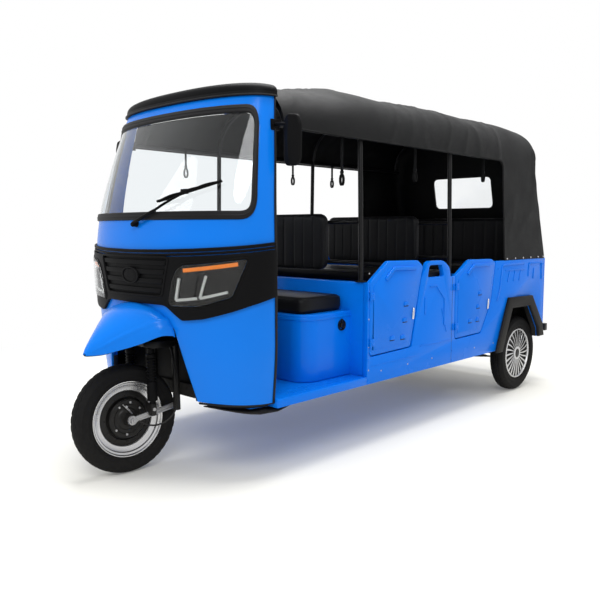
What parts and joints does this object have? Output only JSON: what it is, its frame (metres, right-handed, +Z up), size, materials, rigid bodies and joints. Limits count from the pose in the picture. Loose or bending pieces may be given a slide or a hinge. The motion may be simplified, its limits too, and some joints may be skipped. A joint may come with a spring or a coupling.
{
  "type": "electric passenger tricycle",
  "caption": "Three-wheeled electric passenger vehicle with a moulded front cab, open sides with half doors, bench seats and a canvas roof on a tube frame.",
  "frame": {"origin": "centre of the footprint on the ground, at the bottom centre of the bounding box", "axes": "-Y points the way the vehicle drives, +X to the vehicle's left side, +Z up"},
  "size_m": [1.394, 3.4575, 1.8719],
  "materials": {
    "body_paint": "gloss",
    "black_trim": "satin",
    "black_steel": "satin",
    "canvas": "matte",
    "seat_vinyl": "satin",
    "seal_rubber": "matte",
    "tyre_rubber": "matte",
    "silver_wheel": "polished",
    "clear_glass": "gloss",
    "clear_film": "gloss",
    "lamp_lens": "gloss",
    "red_lens": "gloss"
  },
  "bodies": {
    "chassis": {"apron_liner_left": "black_trim", "apron_liner_right": "black_trim", "bench_backrest": "seat_vinyl", "bench_base": "body_paint", "bench_cushion": "seat_vinyl", "bulkhead": "body_paint", "cab_shell": "body_paint", "canopy": "canvas", "chassis_frame": "black_steel", "dashboard": "black_trim", "driver_backrest": "seat_vinyl", "driver_cushion": "seat_vinyl", "driver_seat_box": "body_paint", "flare_left": "black_trim", "flare_right": "black_trim", "floor_pan": "body_paint", "footwell_panel": "black_trim", "front_fender": "body_paint", "front_panel": "black_trim", "headlamp_left": "lamp_lens", "headlamp_right": "lamp_lens", "mirror_left": "black_trim", "mirror_right": "black_trim", "rear_axle": "black_steel", "rear_bench_backrest": "seat_vinyl", "rear_bench_base": "body_paint", "rear_bench_cushion": "seat_vinyl", "rear_bumper": "black_steel", "rear_window": "clear_film", "roof_cap": "black_trim", "roof_frame": "black_steel", "side_panel_left": "body_paint", "side_panel_right": "body_paint", "tail_lamp_left": "red_lens", "tail_lamp_right": "red_lens", "tail_panel": "body_paint", "wheel_well_left": "black_trim", "wheel_well_right": "black_trim", "windshield_glass": "clear_glass", "windshield_seal": "seal_rubber", "wiper": "black_trim"},
    "steering": {"fork": "black_steel", "leading_links": "silver_wheel", "shock_left": "black_steel", "shock_right": "black_steel", "handlebar": "black_steel"},
    "front_wheel": {"front_tyre": "tyre_rubber", "front_rim": "silver_wheel"},
    "rear_wheel_left": {"rear_tyre_left": "tyre_rubber", "rear_rim_left": "silver_wheel"},
    "rear_wheel_right": {"rear_tyre_right": "tyre_rubber", "rear_rim_right": "silver_wheel"},
    "front_door_left": {"door_front_left": "body_paint"},
    "front_door_right": {"door_front_right": "body_paint"},
    "rear_door_left": {"door_rear_left": "body_paint"},
    "rear_door_right": {"door_rear_right": "body_paint"}
  },
  "joints": [
    {"name": "steer", "type": "hinge", "parent": "chassis", "child": "steering", "pos_m": [0, -1.32, 0.6], "axis": [0, 0.309, 0.9511], "range_deg": [-34, 46]},
    {"name": "front_wheel_spin", "type": "hinge", "parent": "steering", "child": "front_wheel", "pos_m": [-0.0046, -1.47977, 0.24993], "axis": [0.9945, -0.0994, 0.0323], "continuous": true},
    {"name": "rear_left_wheel_spin", "type": "hinge", "parent": "chassis", "child": "rear_wheel_left", "pos_m": [0.518, 1.3, 0.257], "axis": [1, 0, 0], "continuous": true},
    {"name": "rear_right_wheel_spin", "type": "hinge", "parent": "chassis", "child": "rear_wheel_right", "pos_m": [-0.518, 1.3, 0.257], "axis": [1, 0, 0], "continuous": true},
    {"name": "front_left_door", "type": "hinge", "parent": "chassis", "child": "front_door_left", "pos_m": [0.6065, -0.4415, 0.6], "axis": [0, 0, -1], "range_deg": [0, 75]},
    {"name": "front_right_door", "type": "hinge", "parent": "chassis", "child": "front_door_right", "pos_m": [-0.6065, -0.4415, 0.6], "axis": [0, 0, 1], "range_deg": [0, 75]},
    {"name": "rear_left_door", "type": "hinge", "parent": "chassis", "child": "rear_door_left", "pos_m": [0.6065, 0.3785, 0.6], "axis": [0, 0, -1], "range_deg": [0, 75]},
    {"name": "rear_right_door", "type": "hinge", "parent": "chassis", "child": "rear_door_right", "pos_m": [-0.6065, 0.3785, 0.6], "axis": [0, 0, 1], "range_deg": [0, 75]}
  ]
}
